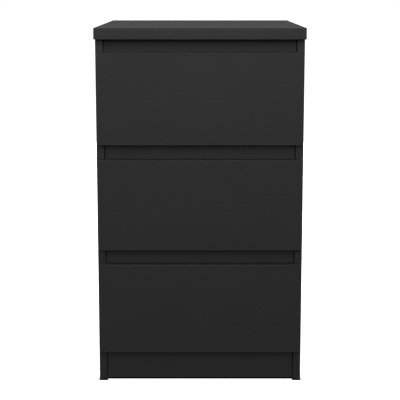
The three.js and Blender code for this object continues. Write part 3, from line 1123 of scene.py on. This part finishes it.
# %% One roller
FRONT_ROLLER_RADIUS = 8.5 * MM
ROLLER_WIDTH = 8.25 * MM
ROLLER_SIDES = 48
ROLLER_CHAMFER = 0.6 * MM
TYRE = 1.4 * MM
DISH_DEPTH, DISH_DRAFT = 1.4 * MM, 0.4 * MM
TYRE_TO_DISH = 2.4 * MM  # from the outside of the roller to the floor of the dish
BORE_RADIUS = 2.9 * MM
HUB_RADIUS = 4.3 * MM
HUB_RISE, HUB_DRAFT = 1.2 * MM, 0.3 * MM
RIBS = 6
RIB_RISE, RIB_DRAFT = 1.0 * MM, 0.03 * MM
RIB_PITCH, FACE_PITCH = 360 / RIBS, 360 / ROLLER_SIDES


def roller(name, middle, radius):
    """A dished and ribbed roller about the x axis."""
    piece = rod(name, middle, "x", radius, ROLLER_WIDTH, ROLLER_SIDES)
    give(piece, nylon)
    dish_radius = radius - TYRE_TO_DISH

    def from_axis(point):
        return math.hypot(point.y - middle.y, point.z - middle.z)

    def looks_sideways(face):
        return abs(face.normal.x) > FLAT

    def is_rib(face):
        centre = face.calc_center_median()
        turn = math.degrees(math.atan2(centre.z - middle.z, centre.y - middle.y))
        past_spoke = turn - RIB_PITCH * round(turn / RIB_PITCH)
        in_dish = HUB_RADIUS < from_axis(centre) < dish_radius
        return looks_sideways(face) and in_dish and abs(past_spoke - FACE_PITCH / 2) < FACE_PITCH / 2

    bpy.ops.object.mode_set(mode="EDIT")
    pick(piece, "FACE", looks_sideways)
    bpy.ops.mesh.bevel(offset=ROLLER_CHAMFER, segments=2, affect="EDGES")
    pick(piece, "FACE", looks_sideways)
    bpy.ops.mesh.inset(thickness=TYRE)
    bpy.ops.mesh.inset(thickness=DISH_DRAFT, depth=-DISH_DEPTH)
    bpy.ops.mesh.inset(thickness=dish_radius - HUB_RADIUS)
    bpy.ops.mesh.inset(thickness=HUB_DRAFT, depth=HUB_RISE)
    bpy.ops.mesh.inset(thickness=HUB_RADIUS - HUB_DRAFT - BORE_RADIUS)
    bpy.ops.mesh.delete(type="ONLY_FACE")
    pick(piece, "EDGE", lambda edge: all(from_axis(p.co) < BORE_RADIUS + HUB_DRAFT for p in edge.verts))
    bpy.ops.mesh.bridge_edge_loops()
    pick(piece, "FACE", is_rib)
    bpy.ops.mesh.inset(thickness=RIB_DRAFT, depth=RIB_RISE, use_individual=True)
    bpy.ops.object.mode_set(mode="OBJECT")
    return piece


print("a roller has", RIBS, "ribs on each end")

# %% Two rollers
front_roller = roller("front_roller", front_axle, FRONT_ROLLER_RADIUS)
rear_roller = roller("rear_roller", rear_axle, REAR_ROLLER_RADIUS)
print("rollers:", len(front_roller.data.polygons), "faces each")

# %% [markdown]
# ## Runners for every drawer
#
# All three drawers have the same runners and rollers on each side. The cuts are slow, so the four samples
# are copied, raised to their drawer or mirrored to the left, instead of made again. Each copy rides on its
# own body: the channel stays with the carcass, the strip travels with its drawer, and each roller turns by
# itself.

# %% One set for each side of each drawer
SAMPLES = {  # the piece, the last word of its copies' names, their body, and their finish
    "cabinet_runner": (channel, "channel", "carcass", "coated_steel"),
    "drawer_runner": (strip, "strip", "{level}_drawer", "coated_steel"),
    "front_roller": (front_roller, "wheel", "{node}", "nylon"),
    "rear_roller": (rear_roller, "wheel", "{node}", "nylon"),
}

first_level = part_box("lower_right_cabinet_runner")[0].z
for level in LEVELS:
    rise = (0, 0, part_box(f"{level}_right_cabinet_runner")[0].z - first_level)
    for hand in HANDS:
        for part, (sample, word, body, slot) in SAMPLES.items():
            node = f"{level}_{hand}_{part}"
            clone = copied(sample, f"{node}_{word}", rise, mirrored=hand == "left")
            fit(clone, body.format(level=level, node=node), node)
for sample, *_ in SAMPLES.values():
    bpy.data.objects.remove(sample, do_unlink=True)
print("runner sets:", len(LEVELS) * len(HANDS))

# %% [markdown]
# ## Nails, and all the fasteners
#
# The back is nailed to the sides about every 75 mm, and to the two rear rails. A nail shows as a flat disc,
# half sunk in the sheet. It needs no cut, because wood closes round a nail. Dozens of loose discs would be
# hard to handle, so the cam locks, screws and nails of one body are then joined into one piece.

# %% Nail the back on
NAIL_PITCH = 75 * MM
NAIL_MARGIN = 12 * MM  # from the upper and lower edges of the back
RAIL_NAILS_AT = (-140, -70, 0, 70, 140)  # mm from the middle of a rail
NAIL_RADIUS, NAIL_THICKNESS, NAIL_RIM, NAIL_SIDES = 1.9 * MM, 0.5 * MM, 0.15 * MM, 16

nail = rod("nail", (0, 0, 0), "x", NAIL_RADIUS, NAIL_THICKNESS, NAIL_SIDES)
give(nail, zinc)
soften(nail, NAIL_RIM)
low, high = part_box("back_panel")
column_x = (side_low.x + side_high.x) / 2
rows = int((high.z - low.z) / NAIL_PITCH)
spots = []
for row in range(rows + 1):
    z = low.z + NAIL_MARGIN + row * (high.z - low.z - 2 * NAIL_MARGIN) / rows
    spots += [(-column_x, high.y, z), (column_x, high.y, z)]
for rail in ("rear_bottom_rail", "rear_top_rail"):
    rail_low, rail_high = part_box(rail)
    spots += [(x * MM, high.y, (rail_low.z + rail_high.z) / 2) for x in RAIL_NAILS_AT]
fasteners["carcass"] += sunk(nail, spots, "+y")
print("nails in the back:", len(spots))

# %% Hang the fasteners on their bodies
for body, pieces in fasteners.items():
    fit(merged(f"{body}_fasteners", pieces), body)
for sample in (nail, screw_head, cam_lock):
    bpy.data.objects.remove(sample, do_unlink=True)
